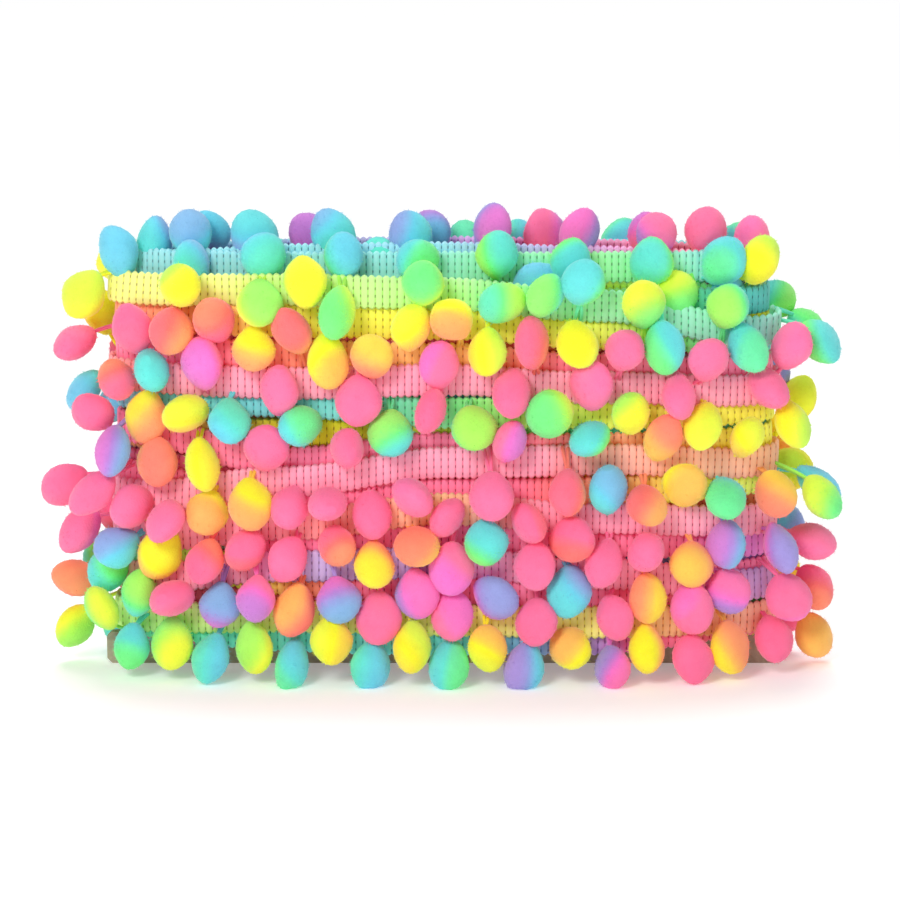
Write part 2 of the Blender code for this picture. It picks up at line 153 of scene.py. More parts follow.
# One row for each outer turn, from the top down, in millimetres: rise is the tape's height at the
# five stations and back its height at the middle of the back, lift is how far it lies outside the
# core, first is the x of its leftmost loop, hang is how far each pompom's middle lies under the
# tape's middle, out is how far outside the core the pompoms lie, and dye is where in the run of
# colours the tape is at the five stations.
Turn = namedtuple("Turn", "name rise back lift first hang out dye")
TURNS = (
    Turn("crown_turn", (93.8, 95.8, 96.3, 95.3, 93.8), 95, -6.8, -59,
         (-5, -5, -5, -5, -5, -5, -5, -5), -8.0,
         (0.27, 0.29, 0.31, 0.44, 0.57)),
    Turn("shoulder_turn", (94.2, 94.2, 94.4, 94.2, 94.2), 94.2, -4.9, -58,
         (-3, -3, -4, -3, -4, -3, -3), -0.8,
         (0.28, 0.27, 0.22, 0.16, 0.25)),
    Turn("turn_03", (89.5, 90.3, 89.5, 86.5, 79.5), 86, 1.5, -73,
         (2, 0, 3, 4, 0, 0, -6, 5, 3), 7.0,
         (0.02, 0.08, 0.13, 0.18, 0.22)),
    Turn("turn_04", (83, 83, 82.5, 80.2, 78), 80.3, 0, -76,
         (8, 1, 4, 5, -1, 2, 2, -3, -6), 7.0,
         (0.86, 0.97, 1.00, 1.05, 1.25)),
    Turn("turn_05", (75, 75, 74.4, 72, 70), 72.1, 0, -66,
         (-6, -8, -5, -4, -7, -6, -6, -4, -6), 7.0,
         (0.66, 0.84, 0.95, 0.70, 0.60)),
    Turn("turn_06", (69.5, 69, 70, 68, 66.2), 66.8, 1.5, -70,
         (0, -6, 0, 4, -4, 1, -1, 1, 2), 7.0,
         (0.80, 0.60, 0.56, 0.60, 0.62)),
    Turn("turn_07", (65, 64.6, 62.2, 61.9, 62), 62, 0, -64,
         (-7, 5, 7, 3, 2, -1, 0, 2), 7.0,
         (0.29, 0.26, 0.18, 0.05, 0.00)),
    Turn("turn_08", (57, 50.5, 54, 53.7, 53.9), 53.8, 0, -72.5,
         (-5, -8, -6, -7, -7, -5, -8, -6, -6), 7.0,
         (0.62, 0.60, 0.66, 0.85, 1.00)),
    Turn("turn_09", (41.7, 46.5, 51, 51.5, 49.5), 49.8, 1.5, -77,
         (4, 8, 6, 7, 7, 6, 6, 8, 8), 8.0,
         (0.62, 0.60, 0.60, 0.84, 0.88)),
    Turn("turn_10", (45.7, 40.5, 43.5, 43.6, 45.2), 44.8, 0, -68,
         (8, 5, 1, 2, 7, 8, -2, -2, 2), 7.0,
         (0.60, 0.58, 0.62, 0.88, 1.08)),
    Turn("turn_11", (32.2, 36.5, 40.3, 37.8, 36), 39, 1.5, -76,
         (2, 5, 8, 8, 8, 6, 7, 9, 6), 7.0,
         (0.56, 0.78, 0.93, 0.62, 0.60)),
    Turn("turn_12", (37.7, 32.5, 33.8, 32, 30.7), 33.8, 0, -67,
         (7, 4, 2, 4, 2, 1, 3, 3, 2), 7.0,
         (0.98, 0.62, 0.50, 0.58, 0.45)),
    Turn("turn_13", (22.8, 26.8, 28, 25, 20.8), 28, 1.5, -74,
         (-2, 0, 5, 6, 5, 8, 1, 5, 1), 7.0,
         (0.82, 0.40, 0.42, 0.62, 0.42)),
    Turn("turn_14", (29.4, 23, 21.5, 18.4, 22.8), 22.4, 0, -66,
         (4, 4, 3, 4, 4, 5, 3, 4, 3), 7.0,
         (0.20, -0.08, -0.45, -0.42, -0.45)),
    Turn("turn_15", (13.4, 15, 14.3, 13.7, 12.9), 16.4, 1.5, -76,
         (3, 5, 5, 5, 6, 6, 7, 4, 4), 7.0,
         (0.10, 0.07, 0.03, -0.02, -0.12)),
    Turn("turn_16", (12, 10, 9.3, 9.4, 11.8), 9.6, 0, -67,
         (5, 4, 3, 3, 4, 3, 4, 4, 4), 7.0,
         (0.20, 0.24, 0.26, 0.42, 0.70)),
)

# The inner turns that show between the outer ones and at both open ends, in millimetres: rows of
# tape from low to high, this far apart and this far in, with the dye at the first and its step.
Shell = namedtuple("Shell", "low high pitch out dye step")
SHELLS = (
    Shell(11, 87, 7.6, -0.5, 0.50, 0.23),
    Shell(14, 86, 7.9, -2.0, 0.93, 0.31),
)
Nest = namedtuple("Nest", "height out step count dye")
NESTS = (
    Nest(10.4, -3.4, -1.25, 7, 0.20),
    Nest(86.5, -3.4, -1.2, 3, 0.75),
    Nest(92.3, -8.2, -1.2, 4, 0.15),
)

# How an inner turn's dye runs on from its start, and how far it rises and sinks, in millimetres
NEST_DYE_STEP = 0.17
WIND_DYE = (0.0, 0.1, 0.2, 0.32, 0.45)
WIND_SLOPES = (0.4, 1.3)
WIND_STARTS = (0, 6)

# The close-wound middle behind the turns: its levels from the bottom up, with how far outside the
# core each lies in millimetres, and its steps, ribs and dye
PACKING_LOW = CORE_BOTTOM + 1.5 * MM
PACKING_HIGH = CORE_TOP - 3 * MM
Level = namedtuple("Level", "height out")
PACKING = (
    Level(PACKING_LOW, -12.0), Level(PACKING_LOW, -4.5), Level(PACKING_HIGH, -4.5),
    Level(PACKING_HIGH + 2 * MM, -8.0), Level(PACKING_HIGH + 3 * MM, -12.0),
)
PACKING_STEPS = 96
PACKING_RIBS = 2.0
PACKING_DYE = 0.56
PACKING_DYE_WAVE = 0.1

# Pompoms of the inner turns that show between the outer ones, in millimetres across and up.
Peep = namedtuple("Peep", "x z dye")
PEEPS = (
    Peep(-48.0, 97.5, 0.28), Peep(-15.5, 96.5, 0.28), Peep(6.0, 95.5, 0.30), Peep(19.5, 94.5, 0.27),
    Peep(52.5, 92.5, 0.10), Peep(68.0, 93.0, 0.08), Peep(74.0, 96.0, 0.00), Peep(75.5, 90.5, 0.27),
    Peep(-31.5, 89.0, 0.08), Peep(20.5, 88.5, 0.20), Peep(83.0, 73.0, 0.24), Peep(-66.0, 62.5, 0.13),
    Peep(-56.5, 50.0, 0.00), Peep(-65.0, 51.0, 0.88), Peep(-74.0, 53.0, 0.58), Peep(21.0, 48.5, 0.00),
    Peep(-68.5, 36.5, 0.60), Peep(80.0, 42.0, 0.10), Peep(72.0, 20.5, 0.50), Peep(-76.5, 12.0, 0.10),
)


class TrimSizes(bpy.types.PropertyGroup):
    """The fine sizes of the trim."""

    rib_pitch: bpy.props.FloatProperty(
        name="Rib pitch", description="Distance from one knitted rib to the next",
        default=1.62 * MM, unit="LENGTH")
    rib_height: bpy.props.FloatProperty(
        name="Rib height", description="How far a rib stands out of the tape",
        default=0.17 * MM, unit="LENGTH")
    scallop: bpy.props.FloatProperty(
        name="Scallop", description="How far the edge loops stand out of the tape's edge",
        default=0.55 * MM, unit="LENGTH")
    loop_thick: bpy.props.FloatProperty(
        name="Loop thickness", description="Thickness of the two threads that hold a pompom",
        default=0.85 * MM, unit="LENGTH")
    fuzz_length: bpy.props.FloatProperty(
        name="Fuzz length", description="Length of the fibre ends on a pompom",
        default=0.85 * MM, unit="LENGTH")
    fuzz_count: bpy.props.IntProperty(
        name="Fuzz count", description="Fibre ends on one pompom", default=340)
    plumpness: bpy.props.FloatProperty(
        name="Plumpness", description="Pompom size against the usual one", default=1.02)
    seed: bpy.props.IntProperty(
        name="Seed", description="Seed of the small irregularities", default=7)


class TrimColours(bpy.types.PropertyGroup):
    """The colours of the trim and the card."""

    pink: bpy.props.FloatVectorProperty(
        name="Pink", description="The long pink run of the dye", subtype="COLOR",
        default=(1.0, 0.215, 0.42))
    yellow: bpy.props.FloatVectorProperty(
        name="Yellow", description="The lemon yellow run of the dye", subtype="COLOR",
        default=(0.97, 0.93, 0.03))
    board: bpy.props.FloatVectorProperty(
        name="Board", description="The greyboard of the card", subtype="COLOR",
        default=(0.40, 0.34, 0.25))


def section(angles):
    """Points of the core's rounded oblong, and outward directions, at these angles."""
    c, s = np.cos(angles), np.sin(angles)
    unit = np.stack([np.sign(c) * np.abs(c) ** (2 / CORE_POWER),
                     np.sign(s) * np.abs(s) ** (2 / CORE_POWER)], axis=1)
    normal = np.sign(unit) * np.abs(unit) ** (CORE_POWER - 1) / np.array(CORE_HALF)
    return unit * np.array(CORE_HALF), normal / np.linalg.norm(normal, axis=1)[:, None]


class Course:
    """The way round the core by length, from the middle of the back by the left to the front."""

    STEPS = 1440

    def __init__(self):
        angles = math.pi / 2 + 2 * math.pi * np.arange(self.STEPS + 1) / self.STEPS
        self.points, self.normals = section(angles)
        pieces = np.linalg.norm(np.diff(self.points, axis=0), axis=1)
        self.along = np.concatenate([[0.0], np.cumsum(pieces)])
        self.length = float(self.along[-1])
        front = self.points[:, 1] <= 0
        self.front_x, self.front_along = self.points[front, 0], self.along[front]

    def at(self, along, out):
        """Places this far along and this far outside the core, and the outward directions."""
        along = np.mod(np.atleast_1d(along), self.length)
        out = np.broadcast_to(out, along.shape)
        base = np.stack([np.interp(along, self.along, self.points[:, k]) for k in (0, 1)], axis=1)
        normal = np.stack([np.interp(along, self.along, self.normals[:, k]) for k in (0, 1)], axis=1)
        normal /= np.linalg.norm(normal, axis=1)[:, None]
        shrunk = base * (1 + np.minimum(out, 0)[:, None] / np.array(CORE_HALF))
        spots = shrunk + normal * np.maximum(out, 0)[:, None]
        flat = np.zeros((len(along), 1))
        return np.hstack([spots, flat]), np.hstack([normal, flat])

    def along_at(self, x):
        """How far along the front is, at this place across it."""
        return float(np.interp(x, self.front_x, self.front_along))


COURSE = Course()


def tape_height(turn, along):
    """The tape's height: its stations along the front, and an even slope round the back."""
    marks = np.array([0.0, *(COURSE.along_at(x) for x in STATIONS), COURSE.length])
    heights = np.array([turn.back, *turn.rise, turn.back]) * MM
    along = np.mod(np.atleast_1d(along), COURSE.length)
    k = np.clip(np.searchsorted(marks, along) - 1, 0, len(marks) - 2)
    t = (along - marks[k]) / (marks[k + 1] - marks[k])
    t = t * t * (3 - 2 * t)
    return heights[k] * (1 - t) + heights[k + 1] * t


def tape_out(turn):
    """How far outside the core the middle of a turn's tape lies."""
    return turn.lift * MM + GAP + TAPE_THICK / 2


def dye_at(dye, along):
    """Where in the run of colours a turn is. It goes back the way it came, behind the roll."""
    marks = [COURSE.along_at(x) for x in STATIONS]
    return np.interp(along, marks, dye, period=COURSE.length)


def usual_hang(turn):
    """How far most pompoms of a turn hang under its tape."""
    return sorted(turn.hang)[len(turn.hang) // 2] * MM


def pompom_rows():
    """Each pompom as (turn number, along, hang): the charted front ones, then those of the back."""
    rows = []
    for number, turn in enumerate(TURNS):
        front = [COURSE.along_at(turn.first * MM) + k * POMPOM_PITCH for k in range(len(turn.hang))]
        rows += [(number, along, hang * MM) for along, hang in zip(front, turn.hang)]
        usual = usual_hang(turn)
        left = front[0] - BACK_PITCH * BACK_START
        while left > BACK_CLEAR:
            rows.append((number, left, usual))
            left -= BACK_PITCH
        right = front[-1] + BACK_PITCH * BACK_START
        while right < COURSE.length - BACK_CLEAR:
            rows.append((number, right, usual))
            right += BACK_PITCH
    return rows


def push_outside(places, out):
    """Moves the points that lie nearer the core than this out to that distance."""
    half = np.array(CORE_HALF)[None, :] + out[:, None]
    level = ((np.abs(places[:, :2]) / half) ** CORE_POWER).sum(axis=1)
    scale = np.where(level < 1, level ** (-1 / CORE_POWER), 1.0)
    places[:, :2] *= scale[:, None]


def wished_spot(number, along, hang, inward=0.0):
    """Where a pompom would lie on its tape, and how far outside the core that is at the least."""
    turn = TURNS[number]
    bend = abs(COURSE.at(along, 0.0)[1][0, 0])
    out = turn.out * MM + END_FLARE * bend ** 3 * (turn.out > 0) - inward
    spot = COURSE.at(along, out)[0][0]
    spot[2] = max(tape_height(turn, along)[0] - hang, POMPOM_HALF[2] * POMPOM_REST)
    return spot, out


def ease(wished, least, held=()):
    """Pompom middles after each has been eased off the others, and off those that are held."""
    half = np.array(POMPOM_HALF)
    places, still = wished.copy(), np.array(held).reshape(-1, 3)
    reach = np.array([half[0], half[0] * EASE_FLAT, half[2]]) * EASE_ROOM
    for step in range(EASE_STEPS):
        apart = (places[:, None, :] - np.concatenate([places, still])[None, :, :]) / reach
        far = np.linalg.norm(apart, axis=2)
        np.fill_diagonal(far, np.inf)
        press = np.clip(1 - far, 0, None) / np.maximum(far, 1e-6)
        places += EASE_PUSH * (apart * press[:, :, None]).sum(axis=1) * reach
        if step < EASE_PULL_STEPS:
            places += EASE_PULL * (wished - places)
        places[:, 2] = np.maximum(places[:, 2], half[2] * POMPOM_REST)
        push_outside(places, least)
    return places, far.min(axis=1)


class Cloth:
    """Gathers patches of points and faces, with their dye, pattern and finish, into one piece."""

    def __init__(self):
        self.points, self.faces, self.dye, self.pattern, self.finish = [], [], [], [], []
        self.count = 0

    def add(self, points, faces, dye, pattern, finish, closing=0, ribs=0):
        """Adds a patch, whose last few faces may close a ring that is this many ribs long."""
        dye = np.broadcast_to(dye, len(points))[faces]
        pattern = np.broadcast_to(pattern, (len(points), 2))[faces]
        if closing:
            pattern[-closing:][faces[-closing:] < closing] += (ribs, 0)
        self.points.append(points)
        self.faces.append(faces + self.count)
        self.dye.append(dye.ravel())
        self.pattern.append(pattern.reshape(-1, 2))
        self.finish.append(np.full(len(faces), finish))
        self.count += len(points)

    def piece(self, name, materials):
        """One object of all that was gathered, moved to the roll's middle."""
        points = np.concatenate(self.points) + ROLL_MIDDLE
        sides = [faces.shape[1] for faces in self.faces]
        corners = np.concatenate([faces.ravel() for faces in self.faces])
        totals = np.concatenate([np.full(len(faces), n) for faces, n in zip(self.faces, sides)])
        mesh = bpy.data.meshes.new(name)
        mesh.vertices.add(len(points))
        mesh.vertices.foreach_set("co", points.ravel())
        mesh.loops.add(len(corners))
        mesh.loops.foreach_set("vertex_index", corners)
        mesh.polygons.add(len(totals))
        mesh.polygons.foreach_set("loop_start", np.concatenate([[0], np.cumsum(totals)[:-1]]))
        mesh.polygons.foreach_set("loop_total", totals)
        mesh.polygons.foreach_set("material_index", np.concatenate(self.finish))
        dye = mesh.attributes.new("dye", "FLOAT", "CORNER")
        dye.data.foreach_set("value", np.concatenate(self.dye).astype(np.float32))
        layer = mesh.uv_layers.new(name="pattern")
        layer.data.foreach_set("uv", np.concatenate(self.pattern).ravel())
        mesh.update(calc_edges=True)
        mesh.validate()
        mesh.shade_smooth()
        for finish in materials:
            mesh.materials.append(finish)
        made = bpy.data.objects.new(name, mesh)
        bpy.context.scene.collection.objects.link(made)
        return made


def ring_faces(columns, ring, closed):
    """Quads that join each ring of points to the next, and the last to the first if closed."""
    k = np.arange(columns if closed else columns - 1)
    n = np.arange(ring)
    here, after = k[:, None] * ring, (k[:, None] + 1) % columns * ring
    right = (n + 1) % ring
    return np.stack([here + n, after + n, after + right, here + right], axis=2).reshape(-1, 4)


UPWARD = np.array([0, 0, 1.0])

# How far the edge loops are drawn in, how many waves the tape's sway has in a turn, and how far the
# outer and inner turns lean and drift
EDGE_INSET = 0.75
SWAY_WAVES = (2, 9)
TURN_SWAY = (0.16, 0.5 * MM)
INNER_SWAY = (0.1, 0.3 * MM)

# The places of the finishes in a dressed turn
TAPE_FINISH = 0
YARN_FINISH = 1

# A tape's section, as steps across its width from the lower to the upper edge and then back, with
# how far each stands off the middle layer as a part of the thickness.
Across = namedtuple("Across", "side off")
FINE_SECTION = (Across(-1.0, 0.0), Across(-0.86, 0.42), Across(-0.5, 0.5), Across(0.0, 0.5),
                Across(0.5, 0.5), Across(0.86, 0.42), Across(1.0, 0.0), Across(0.7, -0.5),
                Across(-0.7, -0.5))
PLAIN_SECTION = (Across(-1.0, 0.0), Across(-0.7, 0.5), Across(0.7, 0.5), Across(1.0, 0.0),
                 Across(0.0, -0.5))

# How many steps along the tape each rib has
OUTER_STEPS = 4
INNER_STEPS = 2


def lay_tape(cloth, sizes, height, out, dye, across, per_rib, sway):
    """One turn of knitted tape with its ribs across and its looped edges."""
    ribs = int(round(COURSE.length / sizes.rib_pitch))
    columns = ribs * per_rib
    step = np.arange(columns) / per_rib
    along = step / ribs * COURSE.length
    lean, drift = sway(along)
    spots, normals = COURSE.at(along, out + drift)
    spots[:, 2] = height(along)
    ridge = np.abs(np.sin(math.pi * step))
    half = TAPE_WIDTH / 2 + sizes.scallop * (ridge - EDGE_INSET)
    up = UPWARD * np.cos(lean)[:, None] + normals * np.sin(lean)[:, None]
    face = normals * np.cos(lean)[:, None] - UPWARD * np.sin(lean)[:, None]
    side = np.array([a.side for a in across])
    off = np.array([a.off for a in across])
    thick = TAPE_THICK * off[None, :] + sizes.rib_height * (ridge[:, None] - 0.5) * np.sign(off)
    points = (spots[:, None, :] + up[:, None, :] * (half[:, None] * side)[:, :, None]
              + face[:, None, :] * thick[:, :, None])
    pattern = np.stack(np.broadcast_arrays(step[:, None], (side * 0.5 + 0.5)[None, :]), axis=2)
    tint = np.repeat(dye_at(dye, along), len(across))
    cloth.add(points.reshape(-1, 3), ring_faces(columns, len(across), True), tint,
              pattern.reshape(-1, 2), TAPE_FINISH, len(across), ribs)


def gentle_sway(random, lean, drift):
    """A slow, uneven lean and drift of the tape along its turn."""
    waves = random.integers(*SWAY_WAVES, size=(2, 3))
    starts = random.uniform(0, 2 * math.pi, size=(2, 3))

    def sway(along):
        turned = along[:, None] / COURSE.length * 2 * math.pi
        both = [np.sin(turned * waves[k] + starts[k]).mean(axis=1) for k in (0, 1)]
        return lean * both[0], drift * np.abs(both[1])

    return sway


def pompom_pattern():
    """The pattern for every pompom: its points, and its faces of 4 and of 3 sides, in a fixed order."""
    bpy.ops.object.select_all(action="DESELECT")
    bpy.ops.mesh.primitive_uv_sphere_add(
        segments=POMPOM_SEGMENTS, ring_count=POMPOM_RINGS, radius=1.0)
    pattern = bpy.context.object
    mesh = pattern.data
    points = np.array([v.co for v in mesh.vertices])
    faces = sorted(tuple(p.vertices) for p in mesh.polygons)
    fours, threes = (np.array([f for f in faces if len(f) == sides]) for sides in (4, 3))
    bpy.data.objects.remove(pattern)
    return points, fours, threes


def turning(pole, normal):
    """Three directions for a pompom: along its loop, out of the roll, and sideways."""
    pole = pole / np.linalg.norm(pole)
    out = normal - pole * normal.dot(pole)
    out = out / np.linalg.norm(out)
    return np.stack([np.cross(out, pole), out, pole])


def add_pompom(cloth, sizes, random, pattern, middle, pole, normal, dye):
    """One pompom with its own lumps, its two-toned dye and its fibre ends."""
    points, fours, threes = pattern
    axes = turning(pole, normal)
    spin = random.normal(scale=POMPOM_SPIN)
    axes[:2] = [axes[0] * math.cos(spin) + axes[1] * math.sin(spin),
                axes[1] * math.cos(spin) - axes[0] * math.sin(spin)]
    size = np.array(POMPOM_HALF) * sizes.plumpness * random.uniform(*POMPOM_SIZES, size=3)
    lumps = random.normal(size=(LUMP_COUNT, 3))
    starts = random.uniform(0, 2 * math.pi, size=LUMP_COUNT)
    taper, foot = random.uniform(*TAPERS), random.uniform(*FOOT_TAPERS)

    def shaped(aim):
        """The pompom's own form: drawn out and tapered to its loop, lumpy, and flatter below."""
        top, low = np.clip(aim[:, 2], 0, 1), np.clip(-aim[:, 2], 0, 1)
        drawn = 1 - taper * top ** 1.5 - foot * low ** 2
        bulge = LUMP_HEIGHT * np.sin(aim @ lumps.T * LUMP_WAVE + starts).sum(axis=1)
        form = aim * (1 + bulge)[:, None]
        form[:, :2] *= drawn[:, None]
        form[:, 2] += TOP_DRAWN * top ** 5 - FOOT_FLAT * low ** 5
        return form

    placed = middle + (shaped(points) * size) @ axes
    placed[:, 2] = np.maximum(placed[:, 2], FLOOR_CLEAR)
    across = random.normal(size=3)
    across /= np.linalg.norm(across)
    tint = dye + TONE_STEP * np.tanh(TONE_EDGE * (points @ across + random.uniform(-0.5, 0.5)))
    cloth.add(placed, fours, tint, (0, 0), YARN_FINISH)
    cloth.add(placed, threes, tint, (0, 0), YARN_FINISH)
    aim = random.normal(size=(sizes.fuzz_count, 3))
    aim /= np.linalg.norm(aim, axis=1)[:, None]
    root = middle + (shaped(aim) * HAIR_ROOT * size) @ axes
    lean = aim + random.normal(scale=HAIR_LEAN, size=aim.shape)
    lean /= np.linalg.norm(lean, axis=1)[:, None]
    reach = sizes.fuzz_length * random.uniform(*HAIR_REACH, size=len(aim))
    tip = root + (lean * reach[:, None]) @ axes
    wide = np.cross(lean, random.normal(size=aim.shape))
    wide /= np.linalg.norm(wide, axis=1)[:, None]
    wide = wide @ axes * HAIR_HALF
    hairs = np.stack([root - wide, root + wide, tip], axis=1).reshape(-1, 3)
    hairs[:, 2] = np.maximum(hairs[:, 2], FLOOR_CLEAR)
    tint = np.repeat(dye + TONE_STEP * np.tanh(TONE_EDGE * (aim @ across)), 3)
    cloth.add(hairs, np.arange(len(hairs)).reshape(-1, 3), tint, (0, 0), YARN_FINISH)


def add_threads(cloth, sizes, random, root, middle, pole, normal, dye):
    """The two threads of a pompom's loop, from inside the tape into the pompom."""
    end = middle + pole * POMPOM_HALF[2] * THREAD_END
    reach = np.linalg.norm(end - root)
    side = np.cross(normal, pole)
    side /= max(np.linalg.norm(side), 1e-6)
    t = np.linspace(0, 1, THREAD_POINTS)[:, None]
    spin = np.arange(THREAD_SIDES) * 2 * math.pi / THREAD_SIDES
    caps = np.arange(THREAD_SIDES)[::-1], np.arange(THREAD_SIDES) + (THREAD_POINTS - 1) * THREAD_SIDES
    for sign in (-1, 1):
        start = root + side * sign * random.uniform(*THREAD_APART) * MM
        bow = normal * THREAD_BOW * reach + side * sign * random.uniform(*THREAD_SPREAD) * MM
        bend = (root + end) / 2 + bow
        line = start * (1 - t) ** 2 + bend * 2 * t * (1 - t) + end * t ** 2
        ahead = np.gradient(line, axis=0)
        ahead /= np.linalg.norm(ahead, axis=1)[:, None]
        first = np.cross(ahead, normal)
        first /= np.maximum(np.linalg.norm(first, axis=1), 1e-6)[:, None]
        second = np.cross(ahead, first)
        ring = (first[:, None, :] * np.cos(spin)[None, :, None]
                + second[:, None, :] * np.sin(spin)[None, :, None]) * sizes.loop_thick / 2
        tube = (line[:, None, :] + ring).reshape(-1, 3)
        cloth.add(tube, ring_faces(THREAD_POINTS, THREAD_SIDES, False), dye, (0, 0), YARN_FINISH)
        cloth.add(tube, np.array(caps), dye, (0, 0), YARN_FINISH)


class Socket:
    """An output of a shader node that takes part in Python arithmetic."""

    def __init__(self, graph, output):
        self.graph, self.output = graph, output

    def _with(self, operation, *values):
        return self.graph.node("ShaderNodeMath", {"operation": operation}, dict(enumerate(values)))

    def __add__(self, other):
        return self._with("ADD", self, other)

    def __sub__(self, other):
        return self._with("SUBTRACT", self, other)

    def __mul__(self, other):
        return self._with("MULTIPLY", self, other)

    def __pow__(self, other):
        return self._with("POWER", self, other)

    def cosine(self):
        return self._with("COSINE", self)

    def fraction(self):
        return self._with("FRACT", self)

    def at_least(self, value):
        return self._with("MAXIMUM", self, value)


class Graph:
    """A material's nodes, made one by one with their settings and inputs."""

    def __init__(self, name):
        self.material = bpy.data.materials.new(name)
        self.material.use_nodes = True
        self.tree = self.material.node_tree
        self.shader = self.tree.nodes["Principled BSDF"]

    def node(self, kind, settings, inputs, output=0):
        """A new node with these settings and inputs, as one of its outputs."""
        made = self.tree.nodes.new(kind)
        for name, value in settings.items():
            if name == "stops":
                self._stops(made.color_ramp, value)
            else:
                setattr(made, name, value)
        for name, value in inputs.items():
            self.feed(made.inputs[name], value)
        return Socket(self, made.outputs[output])

    def _stops(self, ramp, stops):
        while len(ramp.elements) < len(stops):
            ramp.elements.new(0.5)
        for element, (place, colour) in zip(ramp.elements, stops):
            element.position = place
            element.color = (*colour, 1.0)

    def feed(self, socket, value):
        """Links an output to this socket, or sets the socket to a plain value."""
        if isinstance(value, Socket):
            self.tree.links.new(value.output, socket)
        else:
            socket.default_value = value

    def finish(self, **inputs):
        """Sets or links these inputs of the shader, and hands back the material."""
        for name, value in inputs.items():
            self.feed(self.shader.inputs[name.replace("_", " ")], value)
        return self.material


def screen(red, green, blue):
    """A colour as it is seen on a screen, from 0 to 255, for a shader."""
    parts = [value / 255 for value in (red, green, blue)]
    return tuple(v / 12.92 if v <= 0.04045 else ((v + 0.055) / 1.055) ** 2.4 for v in parts)


def dye_stops(colours):
    """The run of colours along the trim, from yellow round to yellow again."""
    pink, yellow = tuple(colours.pink), tuple(colours.yellow)
    return (
        (0.00, yellow),
        (0.05, screen(240, 252, 70)),
        (0.11, screen(185, 250, 95)),
        (0.17, screen(120, 245, 140)),
        (0.23, screen(105, 228, 215)),
        (0.31, screen(112, 214, 236)),
        (0.37, screen(150, 170, 226)),
        (0.42, screen(188, 138, 218)),
        (0.47, screen(246, 122, 205)),
        (0.52, pink),
        (0.74, screen(255, 116, 158)),
        (0.81, screen(255, 122, 116)),
        (0.87, screen(255, 160, 112)),
        (0.93, screen(255, 200, 96)),
        (0.98, yellow),
        (1.00, yellow),
    )


def dye_colour(graph, colours):
    """The colour at each point of the trim, from its place in the run of dye."""
    place = graph.node("ShaderNodeAttribute", {"attribute_name": "dye"}, {}, "Fac").fraction()
    return graph.node("ShaderNodeValToRGB", {"stops": dye_stops(colours)}, {"Fac": place}, "Color")


def blend(graph, mode, factor, first, second):
    """Two colours mixed."""
    made = graph.tree.nodes.new("ShaderNodeMix")
    made.data_type = "RGBA"
    made.blend_type = mode
    for socket, value in zip([made.inputs[k] for k in (0, 6, 7)], (factor, first, second)):
        graph.feed(socket, value)
    return Socket(graph, made.outputs[2])


def pompom_yarn(colours):
    """Soft brushed acrylic: cut fibre ends, dyed in runs, with a painted glow that stands for the
    bounced light in its shade.
    """
    graph = Graph("pompom_yarn")
    colour = dye_colour(graph, colours)
    spot = graph.node("ShaderNodeTexCoord", {}, {}, "Object")
    cloud = graph.node("ShaderNodeTexNoise", {}, {"Vector": spot, "Scale": 260.0, "Detail": 2.0})
    fibre = graph.node("ShaderNodeTexNoise", {}, {"Vector": spot, "Scale": 2600.0, "Detail": 3.0})
    shade = graph.node("ShaderNodeValToRGB", {"stops": ((0.3, (0.88, 0.86, 0.88)), (0.7, (1, 1, 1)))},
                       {"Fac": cloud * 0.6 + fibre * 0.4}, "Color")
    colour = blend(graph, "MULTIPLY", 1.0, colour, shade)
    bump = graph.node("ShaderNodeBump", {}, {"Strength": 0.5, "Distance": 0.25 * MM, "Height": fibre})
    # Painted glow: the yarn's colour times itself glows a little, as painted bounced light that keeps
    # its shade bright and saturated.
    painted_glow_colour = blend(graph, "MULTIPLY", 1.0, colour, colour)
    graph.finish(Base_Color=colour, Roughness=0.95, Normal=bump, Emission_Color=painted_glow_colour)
    graph.finish(Emission_Strength=0.10, Sheen_Weight=0.35, Sheen_Roughness=0.5)
    return graph.finish(Specular_IOR_Level=0.1)


# How each lay of tape looks: it is mixed with this grey, this much, and given this much painted glow.
# The raised lay's white mix is partly the tape's own paler tone and partly painted light on the
# outermost tape. The laid lay is less pale, with more painted glow for bounced light in its shade. The
# inner lay's mix of black is painted shade.
Knit = namedtuple("Knit", "name grey mixed glow")
RAISED_PALE_AND_PAINTED_LIT_KNIT = Knit("raised_tape_knit", 1.0, 0.27, 0.05)
LAID_PAINTED_GLOW_KNIT = Knit("laid_tape_knit", 1.0, 0.10, 0.09)
INNER_PAINTED_SHADE_KNIT = Knit("inner_tape_knit", 0.0, 0.26, 0.03)
HOLE_ROWS = 4
# The painted shade seen in the knit's holes
HOLE_PAINTED_SHADE = (0.34, 0.22, 0.26, 1)


